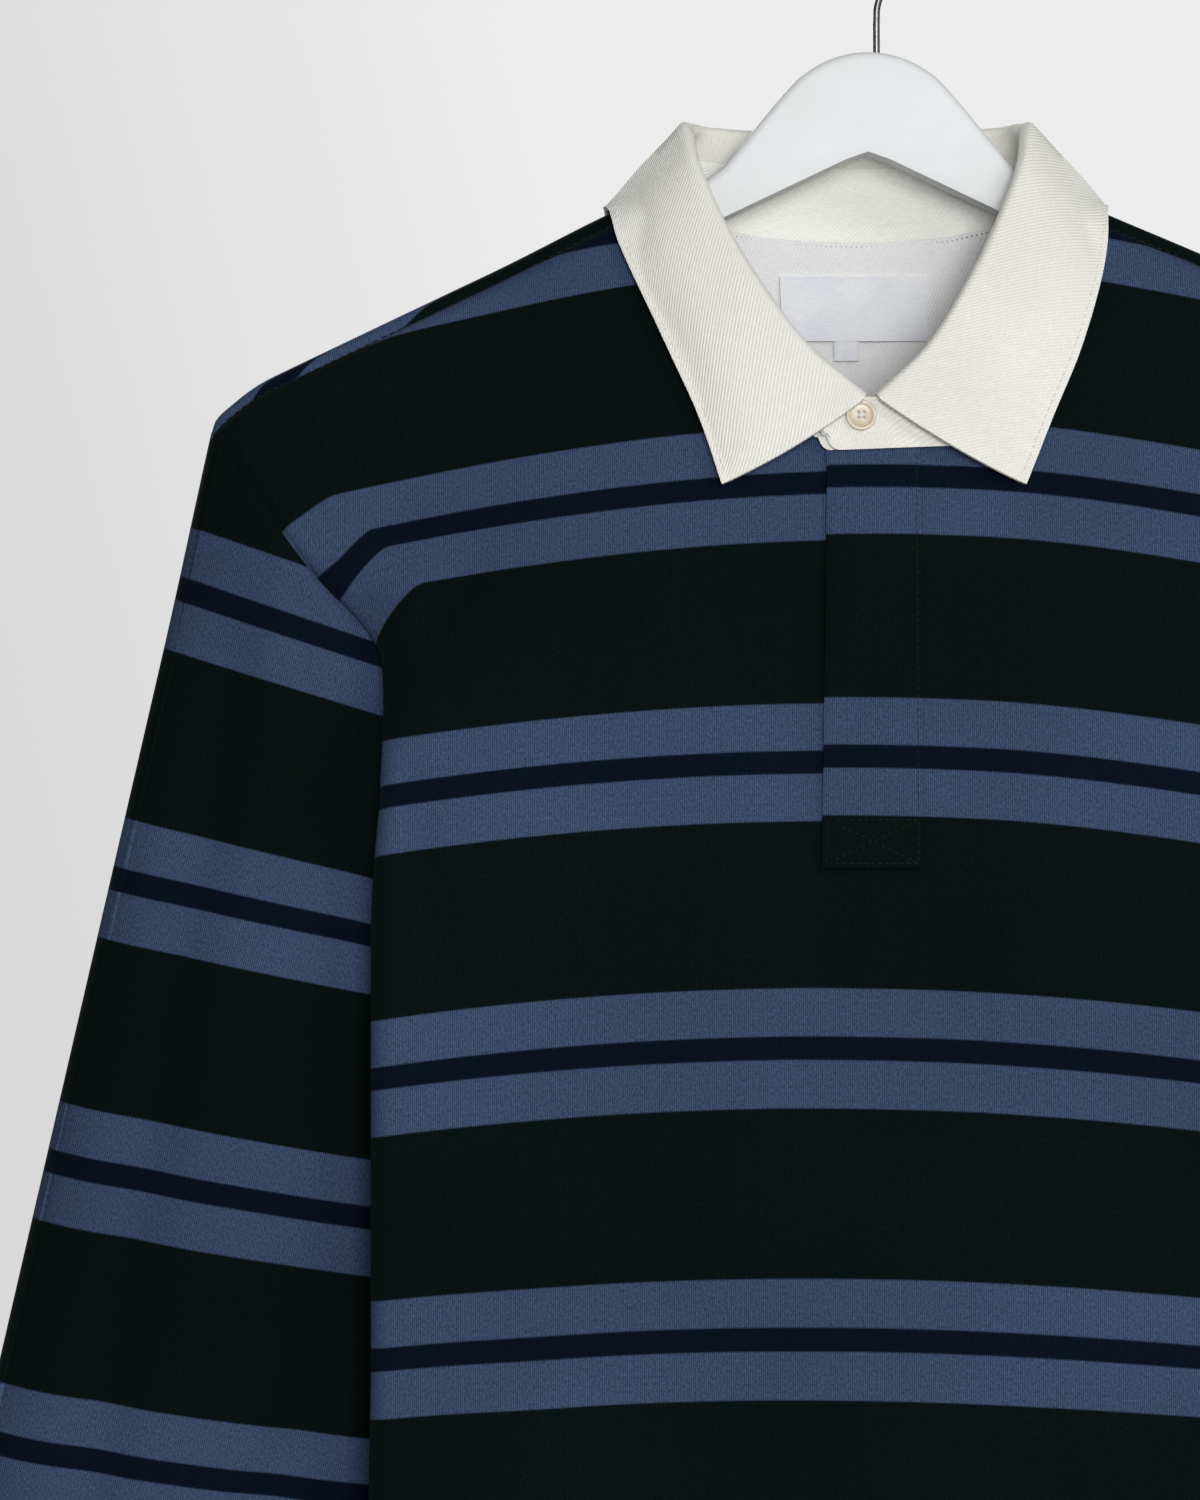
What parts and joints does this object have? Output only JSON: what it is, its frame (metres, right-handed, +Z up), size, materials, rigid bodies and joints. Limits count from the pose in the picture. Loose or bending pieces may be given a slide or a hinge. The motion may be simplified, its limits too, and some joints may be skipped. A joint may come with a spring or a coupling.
{
  "type": "long-sleeved rugby shirt on a wooden hanger",
  "caption": "Long-sleeved striped rugby shirt with a pale twill collar and a buttoned placket, hanging on a painted wooden hanger with a wire hook.",
  "frame": {"origin": "top inside of the hanger's hook, where the wire rests on its rail", "axes": "+Z up; -Y is the shirt's front; +X is the viewer's right as the shirt is seen from the front"},
  "size_m": [0.7592, 0.1177, 0.8418],
  "materials": {
    "jersey": "matte knitted cotton with woven-in stripes",
    "cuff_rib": "matte ribbed cotton",
    "collar_twill": "matte cotton twill",
    "facing_twill": "matte cotton twill",
    "label": "smooth woven satin",
    "button": "satin horn look",
    "hanger_paint": "satin white paint on wood",
    "hook_wire": "polished wire"
  },
  "bodies": {
    "root": {"front_panel": "jersey", "back_panel": "jersey", "sleeve_left": "jersey", "sleeve_right": "jersey", "cuff_left": "cuff_rib", "cuff_right": "cuff_rib", "collar_stand": "collar_twill", "collar_fall": "collar_twill", "placket_top": "jersey", "placket_under": "jersey", "collar_band": "collar_twill", "collar_button": "button", "neck_facing": "facing_twill", "neck_label": "label", "size_tab": "label", "hanger_body": "hanger_paint", "hanger_hook": "hook_wire"}
  },
  "joints": []
}
